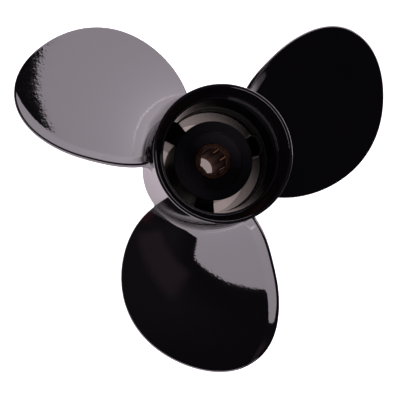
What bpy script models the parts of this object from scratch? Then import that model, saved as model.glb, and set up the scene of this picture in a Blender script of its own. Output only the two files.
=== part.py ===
"""Three-bladed outboard propeller with a through-hub exhaust, standing on its front face.

The shaft axis is +Z and the flared rear end is up. The origin is the centre of mass, which
lies on the axis. Every size is in metres and every angle in degrees.
"""

import math

import bmesh
import bpy

# Clearance kept between two pieces that touch.
GAP = 0.0003

# Heights along the shaft, counted from the front face of the barrel.
CENTRE_HEIGHT = 0.0353
BARREL_LENGTH = 0.0660
LEDGE_HEIGHT = 0.0850
HUB_LENGTH = 0.0963
INNER_HUB_FRONT = 0.0020
INNER_HUB_REAR = 0.0590
RIB_FRONT = 0.0040
RIB_REAR = 0.0470
BUSHING_FRONT = 0.0030
BUSHING_REAR = 0.0575
SLEEVE_FRONT = 0.0020
SLEEVE_REAR = 0.0580

# Radii of the turned pieces.
BARREL_FRONT_RADIUS = 0.0353
BARREL_REAR_RADIUS = 0.0342
FLARE_RIM_RADIUS = 0.03575
FLARE_MOUTH_RADIUS = 0.0341
FLARE_THROAT_RADIUS = 0.0306
FLARE_OUTSIDE_BEND = (0.03474, 0.0915)
FLARE_INSIDE_BEND = (0.03207, 0.0908)
INNER_HUB_FRONT_RADIUS = 0.0222
INNER_HUB_REAR_RADIUS = 0.02175
INNER_HUB_BORE = 0.0160
SLEEVE_RADIUS = 0.0098
EDGE_ROUNDING = 0.0010

# Bore of the barrel as (height, radius): the wall of the exhaust passages, a small step at the
# rear of the ribs, a plain wall and a slightly flared one behind it.
BARREL_BORE = (
    (0.0, 0.0279),
    (0.0470, 0.0283),
    (0.0480, 0.0287),
    (0.0660, 0.0287),
    (0.0850, 0.0295),
)

# Ribs that carry the inner hub inside the barrel. Their sides run along the radius and spread
# a little to the rear. Angles in degrees.
RIB_COUNT = 3
FIRST_RIB_ANGLE = 31.0
RIB_FRONT_SPREAD = 21.0
RIB_REAR_SPREAD = 25.6

# Internal spline of the sleeve: broad teeth with narrow grooves. Places along the outline are
# parts of one tooth's turn. The front end of the bore is smooth.
SPLINE_TEETH = 8
SPLINE_GROOVE_RADIUS = 0.0074
SPLINE_TIP_RADIUS = 0.0067
SPLINE_TIP_END = 0.42
SPLINE_GROOVE_START = 0.56
SPLINE_GROOVE_END = 0.73
SPLINE_TIP_START = 0.87
SMOOTH_BORE_RADIUS = 0.0071
SMOOTH_BORE_REAR = 0.0100
SPLINE_FRONT = 0.0110

# Blades: right-handed screw surfaces of constant pitch.
BLADE_COUNT = 3
FIRST_BLADE_ANGLE = 46.5
PITCH = 0.2520
BLADE_MID_HEIGHT = 0.0405
RADIAL_BOW = 0.0049
BOW_RADIUS = 0.0700
BOW_REACH = 0.0500

# Outline of a blade seen along the shaft: a circle about a point on the blade's own ray,
# drawn out into an ear by four harmonics (cosine part, sine part).
OUTLINE_CENTRE_RADIUS = 0.0732
OUTLINE_MEAN_RADIUS = 0.0451
OUTLINE_HARMONICS = ((-0.0056, -0.0147), (0.0040, 0.0033), (-0.0006, -0.0003), (0.0007, 0.0005))

# The trailing edge is cupped: a band along it rises to the rear. Directions are from the
# outline's centre, counted from the blade's ray.
CUP_RISE = 0.0012
CUP_START_PART = 0.83
CUP_START_DIRECTION = 10.0
CUP_FULL_DIRECTION = 36.0

# Blade thickness: a thick root, a thin tip and a thin rim all round.
ROOT_THICKNESS = 0.0085
TIP_THICKNESS = 0.0034
RIM_THICKNESS = 0.0020
ROOT_RADIUS = 0.0350
TIP_RADIUS = 0.1175

# Mesh resolution.
BARREL_SEGMENTS = 72
HUB_SEGMENTS = 48
BLADE_OUTLINE_STEPS = 48
BLADE_RINGS = (0.30, 0.55, 0.75, 0.83, 0.91, 0.98)
RIB_END_STEPS = 4
SMOOTH_ANGLE = 35.0

# Length by which the root cutter runs past both ends of the barrel, and its core's radius.
CUTTER_REACH = 0.05
CUTTER_CORE = 0.001

PAINT_COLOUR = (0.012, 0.012, 0.014)
RUBBER_COLOUR = (0.02, 0.02, 0.02)
BRASS_COLOUR = (0.55, 0.30, 0.13)


def clear_scene():
    """Removes every object, so that the file starts empty."""
    for item in list(bpy.data.objects):
        bpy.data.objects.remove(item, do_unlink=True)


def make_material(name, colour, roughness, metallic):
    """Returns a Principled material of one colour."""
    material = bpy.data.materials.new(name)
    material.use_nodes = True
    shader = material.node_tree.nodes["Principled BSDF"]
    shader.inputs["Base Color"].default_value = (*colour, 1.0)
    shader.inputs["Roughness"].default_value = roughness
    shader.inputs["Metallic"].default_value = metallic
    material.diffuse_color = (*colour, 1.0)
    return material


def add_object(name, bm, material=None):
    """Turns a bmesh into a smooth-shaded object that stands at its height along the shaft."""
    bmesh.ops.recalc_face_normals(bm, faces=bm.faces)
    mesh = bpy.data.meshes.new(name)
    bm.to_mesh(mesh)
    bm.free()
    mesh.shade_smooth()
    mesh.set_sharp_from_angle(angle=math.radians(SMOOTH_ANGLE))
    item = bpy.data.objects.new(name, mesh)
    bpy.context.scene.collection.objects.link(item)
    item.location.z = -CENTRE_HEIGHT
    if material:
        mesh.materials.append(material)
    return item


def turned_solid(name, profile, segments, material=None):
    """Spins a closed profile of (radius, height) points once round the shaft."""
    bm = bmesh.new()
    points = [bm.verts.new((radius, 0.0, height)) for radius, height in profile]
    edges = [bm.edges.new((a, b)) for a, b in zip(points, points[1:] + points[:1])]
    bmesh.ops.spin(
        bm,
        geom=points + edges,
        cent=(0.0, 0.0, 0.0),
        axis=(0.0, 0.0, 1.0),
        angle=math.tau,
        steps=segments,
    )
    bmesh.ops.remove_doubles(bm, verts=bm.verts, dist=0.00001)
    return add_object(name, bm, material)


def mix(start, end, part):
    """Returns the value that lies the given part of the way from start to end."""
    return start + (end - start) * part


def barrel_outer(height):
    """Outer radius of the barrel, which narrows a little up to the height of the ledge."""
    return mix(BARREL_FRONT_RADIUS, BARREL_REAR_RADIUS, height / LEDGE_HEIGHT)


def barrel_bore(height):
    """Inner radius of the barrel at one height."""
    for (low, low_radius), (high, high_radius) in zip(BARREL_BORE, BARREL_BORE[1:]):
        if height <= high:
            break
    return mix(low_radius, high_radius, (height - low) / (high - low))


def inner_hub_outer(height):
    """Outer radius of the inner hub, which narrows to the rear."""
    part = (height - INNER_HUB_FRONT) / (INNER_HUB_REAR - INNER_HUB_FRONT)
    return mix(INNER_HUB_FRONT_RADIUS, INNER_HUB_REAR_RADIUS, part)


def bore_profile(low, high):
    """Points of the barrel's bore above one height and up to another, from rear to front."""
    return [(radius, height) for height, radius in reversed(BARREL_BORE) if low < height <= high]


def make_barrel(material):
    """The outer tube that carries the blades, up to the shoulder behind the ribs."""
    corner = EDGE_ROUNDING
    profile = [
        (barrel_bore(0.0) + corner, 0.0),
        (barrel_outer(0.0) - corner, 0.0),
        (barrel_outer(corner), corner),
        (barrel_outer(BARREL_LENGTH), BARREL_LENGTH),
        *bore_profile(0.0, BARREL_LENGTH),
        (barrel_bore(corner), corner),
    ]
    return turned_solid("outer_barrel", profile, BARREL_SEGMENTS, material)


def make_diffuser_ring(material):
    """The rear of the barrel: a plain tube, a ledge inside it and the flared mouth."""
    front = BARREL_LENGTH + GAP
    corner = EDGE_ROUNDING / 2
    profile = [
        (barrel_bore(front), front),
        (barrel_outer(front), front),
        (BARREL_REAR_RADIUS, LEDGE_HEIGHT),
        FLARE_OUTSIDE_BEND,
        (FLARE_RIM_RADIUS, HUB_LENGTH - corner),
        (FLARE_RIM_RADIUS - corner, HUB_LENGTH),
        (FLARE_MOUTH_RADIUS, HUB_LENGTH),
        FLARE_INSIDE_BEND,
        (FLARE_THROAT_RADIUS, LEDGE_HEIGHT),
        *bore_profile(front, LEDGE_HEIGHT),
    ]
    return turned_solid("diffuser_ring", profile, BARREL_SEGMENTS, material)


def make_inner_hub(material):
    """The tube inside the barrel that holds the bushing."""
    corner = EDGE_ROUNDING
    profile = [
        (INNER_HUB_BORE, INNER_HUB_FRONT),
        (INNER_HUB_FRONT_RADIUS - corner, INNER_HUB_FRONT),
        (inner_hub_outer(INNER_HUB_FRONT + corner), INNER_HUB_FRONT + corner),
        (inner_hub_outer(INNER_HUB_REAR - corner), INNER_HUB_REAR - corner),
        (INNER_HUB_REAR_RADIUS - corner, INNER_HUB_REAR),
        (INNER_HUB_BORE, INNER_HUB_REAR),
    ]
    return turned_solid("inner_hub", profile, HUB_SEGMENTS, material)


def make_bushing(material):
    """The rubber tube between the inner hub and the sleeve."""
    inner = SLEEVE_RADIUS + GAP
    outer = INNER_HUB_BORE - GAP
    profile = [
        (inner, BUSHING_FRONT),
        (outer, BUSHING_FRONT),
        (outer, BUSHING_REAR),
        (inner, BUSHING_REAR),
    ]
    return turned_solid("rubber_bushing", profile, HUB_SEGMENTS, material)


def spline_outline():
    """Points of the toothed bore: each tooth is a broad tip with sloped flanks."""
    step = math.tau / SPLINE_TEETH
    tip_start = SPLINE_TIP_START - 1.0
    corners = (
        (tip_start, SPLINE_TIP_RADIUS),
        (mix(tip_start, SPLINE_TIP_END, 0.5), SPLINE_TIP_RADIUS),
        (SPLINE_TIP_END, SPLINE_TIP_RADIUS),
        (SPLINE_GROOVE_START, SPLINE_GROOVE_RADIUS),
        (mix(SPLINE_GROOVE_START, SPLINE_GROOVE_END, 0.5), SPLINE_GROOVE_RADIUS),
        (SPLINE_GROOVE_END, SPLINE_GROOVE_RADIUS),
    )
    return [
        (radius, step * (tooth + part)) for tooth in range(SPLINE_TEETH) for part, radius in corners
    ]


def make_sleeve(material):
    """The metal sleeve whose toothed bore slides on the shaft."""
    bm = bmesh.new()
    bore = spline_outline()
    skin = [(SLEEVE_RADIUS, angle) for _, angle in bore]
    smooth = [(SMOOTH_BORE_RADIUS, angle) for _, angle in bore]
    loops = [
        [bm.verts.new((r * math.cos(turn), r * math.sin(turn), height)) for r, turn in outline]
        for outline, height in (
            (smooth, SLEEVE_FRONT),
            (skin, SLEEVE_FRONT),
            (skin, SLEEVE_REAR),
            (bore, SLEEVE_REAR),
            (bore, SPLINE_FRONT),
            (smooth, SMOOTH_BORE_REAR),
        )
    ]
    for ring, following in zip(loops, loops[1:] + loops[:1]):
        join_rings(bm, ring, following)
    return add_object("splined_sleeve", bm, material)


def join_rings(bm, ring, following):
    """Fills the band between two closed rings that have the same number of points."""
    count = len(ring)
    for index in range(count):
        after = (index + 1) % count
        bm.faces.new((ring[index], ring[after], following[after], following[index]))


def rib_section(bm, height, angle, spread):
    """One level of a rib: its two ends follow the inner hub and the barrel's bore."""
    section = []
    for radius, steps in (
        (inner_hub_outer(height) + GAP, range(RIB_END_STEPS + 1)),
        (barrel_bore(height) - GAP, range(RIB_END_STEPS, -1, -1)),
    ):
        for step in steps:
            turn = math.radians(angle + spread * (step / RIB_END_STEPS - 0.5))
            place = (radius * math.cos(turn), radius * math.sin(turn), height)
            section.append(bm.verts.new(place))
    return section


def make_rib(number, material):
    """A web that joins the inner hub to the barrel."""
    angle = FIRST_RIB_ANGLE + 360.0 / RIB_COUNT * number
    bm = bmesh.new()
    front = rib_section(bm, RIB_FRONT, angle, RIB_FRONT_SPREAD)
    rear = rib_section(bm, RIB_REAR, angle, RIB_REAR_SPREAD)
    bm.faces.new(front)
    bm.faces.new(rear)
    join_rings(bm, front, rear)
    return add_object(f"hub_rib_{number + 1}", bm, material)


def outline_radius(direction):
    """Distance from the outline's centre to the blade's rim in one direction."""
    reach = OUTLINE_MEAN_RADIUS
    for order, (cosine, sine) in enumerate(OUTLINE_HARMONICS, start=1):
        reach += cosine * math.cos(order * direction) + sine * math.sin(order * direction)
    return reach


def limit(value):
    """Returns the value, held between 0 and 1."""
    return min(max(value, 0.0), 1.0)


def cup_height(along, across):
    """How far the cupped band rises to the rear at a place seen along the shaft."""
    direction = math.atan2(across, along - OUTLINE_CENTRE_RADIUS)
    part = math.hypot(along - OUTLINE_CENTRE_RADIUS, across) / outline_radius(direction)
    turned = math.degrees(direction) - CUP_START_DIRECTION
    share = limit(turned / (CUP_FULL_DIRECTION - CUP_START_DIRECTION))
    return CUP_RISE * share * limit((part - CUP_START_PART) / (1.0 - CUP_START_PART))


def blade_surface(along, across):
    """Point of the guiding surface over a place seen along the shaft.

    The first value runs out from the shaft along the blade's own ray, the second runs
    across it, towards the trailing edge.
    """
    radius = math.hypot(along, across)
    turn = math.atan2(across, along)
    outward = (radius - BOW_RADIUS) / BOW_REACH
    height = BLADE_MID_HEIGHT + PITCH * turn / math.tau + RADIAL_BOW * outward**2
    return along, across, height + cup_height(along, across)


def blade_normal(along, across):
    """Unit normal of the guiding surface, pointing to the rear."""
    step = 0.0001
    height = blade_surface(along, across)[2]
    slope_along = (blade_surface(along + step, across)[2] - height) / step
    slope_across = (blade_surface(along, across + step)[2] - height) / step
    length = math.sqrt(slope_along**2 + slope_across**2 + 1.0)
    return -slope_along / length, -slope_across / length, 1.0 / length


def blade_thickness(radius, part):
    """Thickness at a radius, for a point the given part of the way from centre to rim."""
    outward = (radius - ROOT_RADIUS) / (TIP_RADIUS - ROOT_RADIUS)
    middle = mix(ROOT_THICKNESS, TIP_THICKNESS, limit(outward))
    return mix(middle, RIM_THICKNESS, part**4)


def blade_vertex(bm, direction, part, side):
    """Adds a vertex on the rear face (side 1), the front face (-1) or the rim (0).

    The rear face keeps the true screw shape, and the thickness lies in front of it.
    """
    reach = part * outline_radius(direction)
    along = OUTLINE_CENTRE_RADIUS + reach * math.cos(direction)
    across = reach * math.sin(direction)
    surface = blade_surface(along, across)
    offset = side * RIM_THICKNESS / 2
    if side < 0:
        offset += RIM_THICKNESS - blade_thickness(math.hypot(along, across), part)
    return bm.verts.new([p + offset * n for p, n in zip(surface, blade_normal(along, across))])


def make_blade_blank(name, material):
    """A whole blade whose inner end still reaches into the barrel."""
    bm = bmesh.new()
    directions = [math.tau * step / BLADE_OUTLINE_STEPS for step in range(BLADE_OUTLINE_STEPS)]
    rim = [blade_vertex(bm, direction, 1.0, 0) for direction in directions]
    for side in (1, -1):
        centre = blade_vertex(bm, 0.0, 0.0, side)
        rings = [
            [blade_vertex(bm, direction, part, side) for direction in directions]
            for part in BLADE_RINGS
        ]
        for index in range(BLADE_OUTLINE_STEPS):
            after = (index + 1) % BLADE_OUTLINE_STEPS
            bm.faces.new((centre, rings[0][index], rings[0][after]))
        for ring, following in zip(rings, rings[1:] + [rim]):
            join_rings(bm, ring, following)
    bmesh.ops.triangulate(bm, faces=bm.faces)
    return add_object(name, bm, material)


def make_root_cutter():
    """The space of the barrel, a gap larger all round, that each blade is trimmed by."""
    front, rear = -CUTTER_REACH, HUB_LENGTH + CUTTER_REACH
    profile = [
        (CUTTER_CORE, front),
        (barrel_outer(front) + GAP, front),
        (barrel_outer(rear) + GAP, rear),
        (CUTTER_CORE, rear),
    ]
    cutter = turned_solid("root_cutter", profile, BARREL_SEGMENTS)
    cutter.hide_render = True
    cutter.display_type = "WIRE"
    return cutter


def make_blade(number, cutter, material):
    """One blade, trimmed to the barrel and turned to its place."""
    blade = make_blade_blank(f"blade_{number + 1}", material)
    blade.rotation_euler.z = math.radians(FIRST_BLADE_ANGLE + 360.0 / BLADE_COUNT * number)
    trim = blade.modifiers.new("trim_root", "BOOLEAN")
    trim.operation = "DIFFERENCE"
    trim.solver = "EXACT"
    trim.object = cutter
    return blade


def main():
    """Builds the propeller."""
    clear_scene()
    paint = make_material("black_paint", PAINT_COLOUR, 0.12, 0.0)
    rubber = make_material("rubber", RUBBER_COLOUR, 0.8, 0.0)
    brass = make_material("brass", BRASS_COLOUR, 0.35, 1.0)
    make_barrel(paint)
    make_diffuser_ring(paint)
    make_inner_hub(paint)
    for number in range(RIB_COUNT):
        make_rib(number, paint)
    cutter = make_root_cutter()
    for number in range(BLADE_COUNT):
        make_blade(number, cutter, paint)
    make_bushing(rubber)
    make_sleeve(brass)


main()
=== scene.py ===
"""Looks of a three-bladed outboard propeller that stands on its front face.

The shaft axis is +Z and the flared rear end is up. Sizes are in metres and angles in degrees.
Heights called "above the front" are counted from the front face of the barrel.
"""

import logging
import math
from collections.abc import Sequence
from dataclasses import dataclass
from enum import Enum

import bmesh
import bpy
import numpy as np
from mathutils import Matrix, Vector


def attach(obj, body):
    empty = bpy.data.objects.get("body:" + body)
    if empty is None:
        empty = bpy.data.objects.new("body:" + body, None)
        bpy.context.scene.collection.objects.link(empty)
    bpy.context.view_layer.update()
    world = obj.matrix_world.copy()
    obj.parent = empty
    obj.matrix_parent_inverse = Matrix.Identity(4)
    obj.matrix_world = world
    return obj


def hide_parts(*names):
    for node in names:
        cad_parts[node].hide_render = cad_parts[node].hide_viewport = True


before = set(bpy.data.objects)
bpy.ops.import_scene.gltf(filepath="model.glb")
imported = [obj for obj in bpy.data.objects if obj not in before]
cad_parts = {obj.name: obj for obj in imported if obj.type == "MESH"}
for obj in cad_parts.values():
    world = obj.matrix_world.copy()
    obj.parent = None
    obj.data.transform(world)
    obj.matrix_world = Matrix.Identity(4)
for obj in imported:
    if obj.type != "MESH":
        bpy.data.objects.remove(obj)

LOG = logging.getLogger("propeller")

# Height of the frame's origin above the front face of the barrel.
FRONT_TO_ORIGIN = 0.0353
# Vertices closer than this are merged, and edges shorter than this are dissolved.
MERGE_DISTANCE = 0.000002
SHORTEST_EDGE = 0.0000005
# A rounded corner takes at most this share of each of its sides.
MOST_OF_A_SIDE = 0.48

Pair = tuple[float, float]
Point = tuple[float, float, float]


class Slot(Enum):
    """Material slots of the part's record."""

    PAINT = "paint"
    RUBBER = "rubber"
    BRASS = "brass"


class Number:
    """A number worked out by a node tree, so that node arithmetic reads as a formula."""

    def __init__(self, tree: bpy.types.NodeTree, socket: bpy.types.NodeSocket) -> None:
        """Wraps an output socket.

        Args:
            tree: the tree that the socket belongs to.
            socket: the output that carries the number.
        """
        self.tree = tree
        self.socket = socket

    def _apply(self, operation: str, *others: "Number | float", swap: bool = False) -> "Number":
        """Adds a Math node.

        Args:
            operation: the Math node's operation.
            others: the operands after this one.
            swap: puts this number after the first operand instead of before it.

        Returns:
            The result.
        """
        node = self.tree.nodes.new("ShaderNodeMath")
        node.operation = operation
        operands = [self, *others]
        if swap:
            operands = [operands[1], operands[0]]
        for place, operand in enumerate(operands):
            if isinstance(operand, Number):
                self.tree.links.new(operand.socket, node.inputs[place])
            else:
                node.inputs[place].default_value = operand
        return Number(self.tree, node.outputs[0])

    def __add__(self, other: "Number | float") -> "Number":
        """Sum."""
        return self._apply("ADD", other)

    def __radd__(self, other: float) -> "Number":
        """Sum, with this number second."""
        return self._apply("ADD", other)

    def __sub__(self, other: "Number | float") -> "Number":
        """Difference."""
        return self._apply("SUBTRACT", other)

    def __rsub__(self, other: float) -> "Number":
        """Difference, with this number second."""
        return self._apply("SUBTRACT", other, swap=True)

    def __mul__(self, other: "Number | float") -> "Number":
        """Product."""
        return self._apply("MULTIPLY", other)

    def __rmul__(self, other: float) -> "Number":
        """Product, with this number second."""
        return self._apply("MULTIPLY", other)

    def __truediv__(self, other: "Number | float") -> "Number":
        """Quotient."""
        return self._apply("DIVIDE", other)

    def __pow__(self, other: float) -> "Number":
        """Power."""
        return self._apply("POWER", other)

    def turn_from(self, x: "Number") -> "Number":
        """Azimuth in radians of a place whose Y is this number and whose X is given."""
        return self._apply("ARCTAN2", x)


class Nodes:
    """One node tree under construction."""

    def __init__(self, tree: bpy.types.NodeTree) -> None:
        """Starts with the given tree."""
        self.tree = tree

    def add(
        self,
        kind: str,
        settings: dict[str, object] | None = None,
        inputs: dict[str | int, object] | None = None,
    ) -> bpy.types.Node:
        """Adds one node.

        Args:
            kind: the node's type.
            settings: its properties; "stops" gives a ramp's (position, colour) pairs.
            inputs: a value, a Number or another node's output for each socket.

        Returns:
            The node.
        """
        node = self.tree.nodes.new(kind)
        for name, setting in (settings or {}).items():
            if name == "stops":
                self._set_stops(node.color_ramp, setting)
            else:
                setattr(node, name, setting)
        self.feed(node, inputs or {})
        return node

    def feed(self, node: bpy.types.Node, inputs: dict[str | int, object]) -> None:
        """Sets or links input sockets of a node.

        Args:
            node: the node.
            inputs: a value, a Number or another node's output for each socket.
        """
        for name, value in inputs.items():
            socket = node.inputs[name]
            if isinstance(value, Number):
                value = value.socket
            if isinstance(value, bpy.types.NodeSocket):
                self.tree.links.new(value, socket)
            else:
                socket.default_value = value

    @staticmethod
    def _set_stops(ramp: bpy.types.ColorRamp, stops: Sequence[tuple[float, Point]]) -> None:
        """Gives a colour ramp its stops.

        Args:
            ramp: the ramp, which starts with two stops.
            stops: position and colour of each stop, in order.
        """
        while len(ramp.elements) < len(stops):
            ramp.elements.new(1.0)
        for element, (position, colour) in zip(ramp.elements, stops):
            element.position = position
            element.color = (*colour, 1.0)

    def number(self, node: bpy.types.Node, output: str | int = 0) -> Number:
        """The number that a node puts out."""
        return Number(self.tree, node.outputs[output])

    def noise(
        self,
        scale: float,
        detail: float,
        seed_place: Point = (0.0, 0.0, 0.0),
        stretch: Point = (1.0, 1.0, 1.0),
    ) -> Number:
        """Adds a noise texture on object coordinates.

        Args:
            scale: features per metre.
            detail: number of finer layers.
            seed_place: offset that makes this noise differ from the others.
            stretch: factor on the coordinates along each axis.

        Returns:
            The noise, about 0.5 on average.
        """
        place = self.add("ShaderNodeTexCoord").outputs["Object"]
        moved = self.add(
            "ShaderNodeMapping",
            inputs={"Vector": place, "Location": seed_place, "Scale": stretch},
        )
        texture = self.add(
            "ShaderNodeTexNoise",
            inputs={"Vector": moved.outputs[0], "Scale": scale, "Detail": detail},
        )
        return self.number(texture)

    def object_place(self) -> list[Number]:
        """Adds nodes that split object coordinates.

        Returns:
            X, Y and Z.
        """
        place = self.add("ShaderNodeTexCoord").outputs["Object"]
        split = self.add("ShaderNodeSeparateXYZ", inputs={0: place})
        return [self.number(split, axis) for axis in range(3)]

    def shaft_place(self) -> tuple[Number, Number]:
        """Adds nodes that find a place's radius and height.

        Returns:
            Distance from the shaft, and height above the front.
        """
        x, y, z = self.object_place()
        return (x * x + y * y) ** 0.5, z + FRONT_TO_ORIGIN

    def towards(self, azimuth: float) -> Number:
        """Adds nodes that measure how far a place lies towards an azimuth.

        Args:
            azimuth: the azimuth.

        Returns:
            The distance from the shaft along that azimuth, negative on the other side.
        """
        x, y, _ = self.object_place()
        turn = math.radians(azimuth)
        return x * math.cos(turn) + y * math.sin(turn)

    def dot(self, vector: bpy.types.NodeSocket, direction: Vector) -> Number:
        """Adds a dot product.

        Args:
            vector: the output that carries the vector.
            direction: a fixed unit vector.

        Returns:
            The part of the vector along the direction.
        """
        node = self.add(
            "ShaderNodeVectorMath",
            {"operation": "DOT_PRODUCT"},
            {0: vector, 1: tuple(direction)},
        )
        return self.number(node, "Value")

    def ramp(
        self, value: Number, start: float, end: float, shape: str = "SMOOTHSTEP"
    ) -> Number:
        """Adds a node that rises from 0 to 1 while a value goes from one limit to another.

        Args:
            value: the value.
            start: where the result is 0. It may be the larger limit.
            end: where the result is 1.
            shape: the Map Range node's interpolation.

        Returns:
            The share, from 0 to 1.
        """
        span = self.add(
            "ShaderNodeMapRange",
            {"interpolation_type": shape},
            {"Value": value, "From Min": start, "From Max": end},
        )
        return self.number(span)

    def mix(
        self,
        factor: Number,
        first: Point | bpy.types.NodeSocket,
        second: Point | bpy.types.NodeSocket,
    ) -> bpy.types.NodeSocket:
        """Adds a Mix node between two colours.

        Args:
            factor: share of the second colour.
            first: a colour, or the output that carries it.
            second: a colour, or the output that carries it.

        Returns:
            The mixed colour.
        """
        ends = [(*end, 1.0) if isinstance(end, tuple) else end for end in (first, second)]
        node = self.add(
            "ShaderNodeMix", {"data_type": "RGBA"}, {"Factor": factor, "A": ends[0], "B": ends[1]}
        )
        return node.outputs["Result"]


def start_material(name: str) -> tuple[bpy.types.Material, Nodes, bpy.types.Node]:
    """Makes an empty node material.

    Args:
        name: the material's name.

    Returns:
        The material, its tree under construction and its Principled shader.
    """
    material = bpy.data.materials.new(name)
    material.use_nodes = True
    return material, Nodes(material.node_tree), material.node_tree.nodes["Principled BSDF"]


def add_bump(nodes: Nodes, shader: bpy.types.Node, height: Number) -> None:
    """Roughens a shader's normal.

    Args:
        nodes: the tree under construction.
        shader: the shader whose Normal is fed.
        height: surface height in metres.
    """
    bump = nodes.add(
        "ShaderNodeBump", inputs={"Strength": 1.0, "Distance": 1.0, "Height": height}
    )
    nodes.feed(shader, {"Normal": bump.outputs["Normal"]})


@dataclass(frozen=True)
class GlossPaint:
    """Gloss black paint over the casting, with the ripple of sprayed enamel.

    The exhaust passages keep the sand-cast grain, because little paint reaches them. The wall
    behind them, one side of the inner hub, and the rear ends of the ribs and
    of the inner hub are duller, and those rear ends are also given a lighter base colour. A pair
    of
    lengths is a soft edge: a share is 0 at the first radius or height above the front and 1 at the
    second.
    """

    dark: Point = (0.0009, 0.0008, 0.0010)
    light: Point = (0.0022, 0.0019, 0.0024)
    cloud_scale: float = 38.0
    smoothest: float = 0.030
    roughest: float = 0.065
    haze_scale: float = 140.0
    refraction: float = 1.54
    peel_scale: float = 620.0
    peel_height: float = 0.000016
    wave_scale: float = 75.0
    wave_height: float = 0.000035
    grain_scale: float = 950.0
    grain_height: float = 0.00010
    grain_roughness: float = 0.07
    inside_bore: Pair = (0.0290, 0.0284)
    before_passage_end: Pair = (0.0476, 0.0461)
    behind_passage_end: Pair = (0.0476, 0.0481)
    before_ledge: Pair = (0.0652, 0.0647)
    off_wall: Pair = (0.0283, 0.0282)
    off_inner_hub: Pair = (0.0223, 0.0224)
    on_inner_hub: Pair = (0.0225, 0.0223)
    inner_hub_end: Pair = (0.0584, 0.0588)
    rib_end: Pair = (0.0466, 0.0469)
    wall_roughness: float = 0.62
    # Lighter base colour of the rear ends of the ribs and of the inner hub.
    lighter_ends: Point = (0.012, 0.011, 0.012)
    lighter_ends_roughness: float = 0.38
    shaded_azimuth: float = 180.0
    shaded_reach: Pair = (0.0126, 0.0199)
    shaded_roughness: float = 0.40

    def build(self) -> bpy.types.Material:
        """Makes the material.

        Returns:
            The material.
        """
        material, nodes, shader = start_material("gloss_black_paint")
        radius, height = nodes.shaft_place()
        inside = nodes.ramp(radius, *self.inside_bore)
        off_wall = nodes.ramp(radius, *self.off_wall)
        on_hub = nodes.ramp(radius, *self.on_inner_hub)
        passage = inside * nodes.ramp(height, *self.before_passage_end)
        wall = inside * (1.0 - off_wall) * nodes.ramp(height, *self.behind_passage_end)
        wall = wall * nodes.ramp(height, *self.before_ledge)
        hub_end = on_hub * nodes.ramp(height, *self.inner_hub_end)
        rib_end = off_wall * nodes.ramp(radius, *self.off_inner_hub)
        # The rear ends of the inner hub and of the ribs take the lighter colour and more
        # roughness.
        lighter_ends = hub_end + rib_end * nodes.ramp(height, *self.rib_end)
        shaded = nodes.ramp(nodes.towards(self.shaded_azimuth), *self.shaded_reach)
        shaded = shaded * on_hub * (1.0 - hub_end)
        cloud = nodes.noise(self.cloud_scale, 3.0, (0.4, 0.1, 0.7))
        shade = nodes.mix(lighter_ends, nodes.mix(cloud, self.dark, self.light), self.lighter_ends)
        haze = nodes.noise(self.haze_scale, 4.0, (1.3, 0.2, 0.0))
        roughness = self.smoothest + (self.roughest - self.smoothest) * haze
        roughness = roughness + self.grain_roughness * passage
        roughness = roughness + self.wall_roughness * wall + self.lighter_ends_roughness * lighter_ends
        roughness = roughness + self.shaded_roughness * shaded
        peel = nodes.noise(self.peel_scale, 1.5, (0.0, 0.9, 0.3)) * self.peel_height
        wave = nodes.noise(self.wave_scale, 1.0, (0.6, 0.0, 0.2)) * self.wave_height
        grain = nodes.noise(self.grain_scale, 2.0, (0.3, 0.6, 0.0)) * self.grain_height
        add_bump(nodes, shader, peel + wave + grain * passage)
        nodes.feed(
            shader, {"Base Color": shade, "Roughness": roughness, "IOR": self.refraction}
        )
        return material


@dataclass(frozen=True)
class MouldedRubber:
    """Matt black rubber with a fine moulded grain."""

    dark: Point = (0.040, 0.036, 0.040)
    light: Point = (0.075, 0.068, 0.075)
    smoothest: float = 0.75
    roughest: float = 0.95
    shine: float = 0.15
    grain_scale: float = 2600.0
    grain_height: float = 0.00002

    def build(self) -> bpy.types.Material:
        """Makes the material.

        Returns:
            The material.
        """
        material, nodes, shader = start_material("moulded_rubber")
        grain = nodes.noise(self.grain_scale, 2.0)
        add_bump(nodes, shader, grain * self.grain_height)
        nodes.feed(
            shader,
            {
                "Base Color": nodes.mix(grain, self.dark, self.light),
                "Roughness": self.smoothest + (self.roughest - self.smoothest) * grain,
                "Specular IOR Level": self.shine,
            },
        )
        return material


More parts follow.
